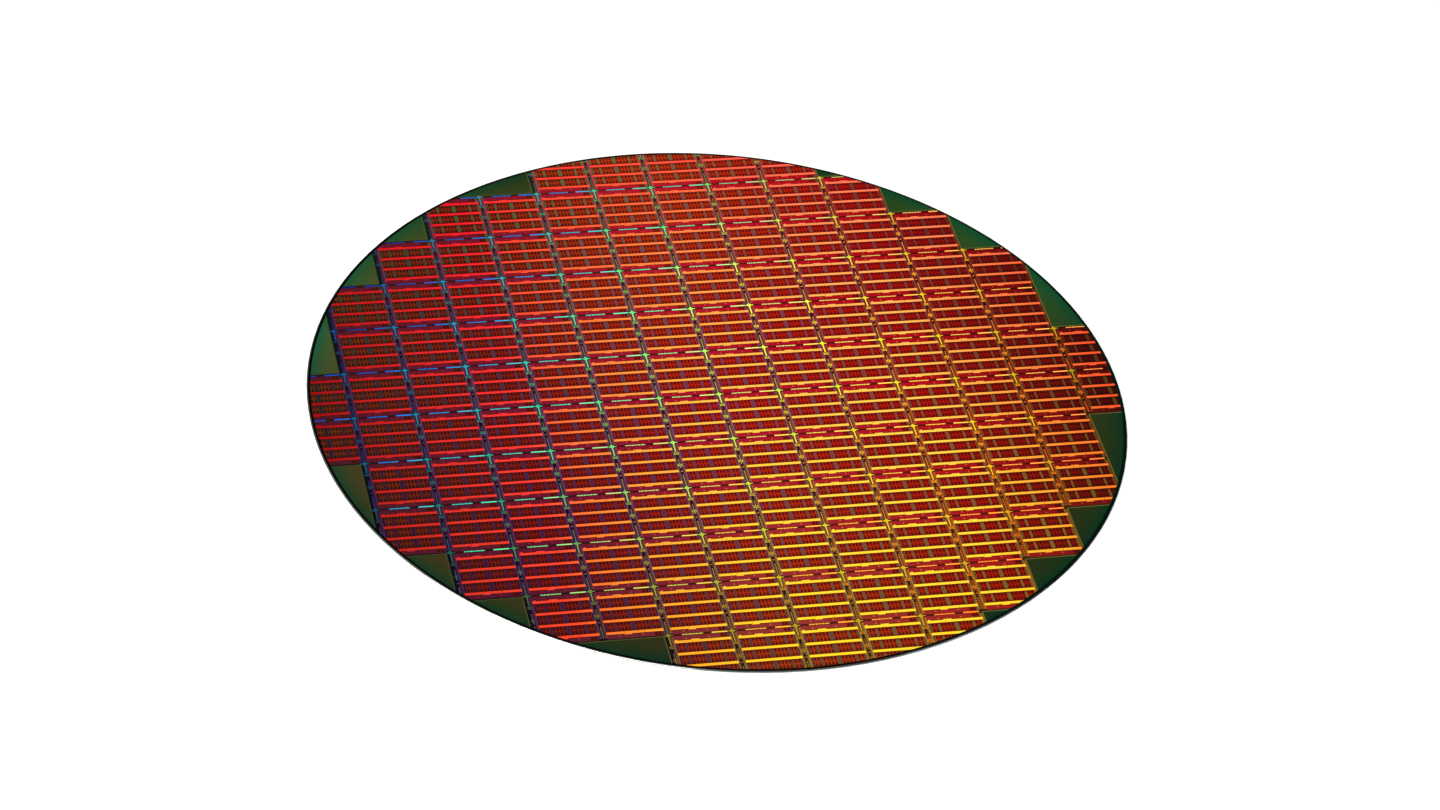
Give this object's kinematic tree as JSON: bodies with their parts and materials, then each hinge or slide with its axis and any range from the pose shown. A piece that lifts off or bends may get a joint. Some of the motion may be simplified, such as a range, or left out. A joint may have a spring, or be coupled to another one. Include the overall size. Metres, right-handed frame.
{
  "type": "patterned silicon wafer",
  "caption": "Round, thin silicon wafer with a bevelled rim and an alignment notch, one face covered by a grid of printed chip fields that shimmer red, orange and gold.",
  "frame": {"origin": "middle of the flat back face, on the wafer's axis", "axes": "+Z out of the patterned face, +X along the rows of fields, notch toward -Y"},
  "size_m": [0.3, 0.3, 0.0008],
  "materials": {
    "silicon": "polished, with a thin dark green to olive film on the front face",
    "field_ground": "glossy dark film between the circuit blocks",
    "power_metal": "fine metal lines that diffract light red, orange or gold",
    "cell_array": "dense memory cells, dark red to brown sheen",
    "logic_bars": "dense logic, violet, grey-green or teal sheen",
    "edge_logic": "periphery circuits, magenta sheen",
    "street_marks": "alignment and test structures in the streets, rainbow sheen"
  },
  "bodies": {
    "root": {"wafer": "silicon"}
  },
  "joints": []
}
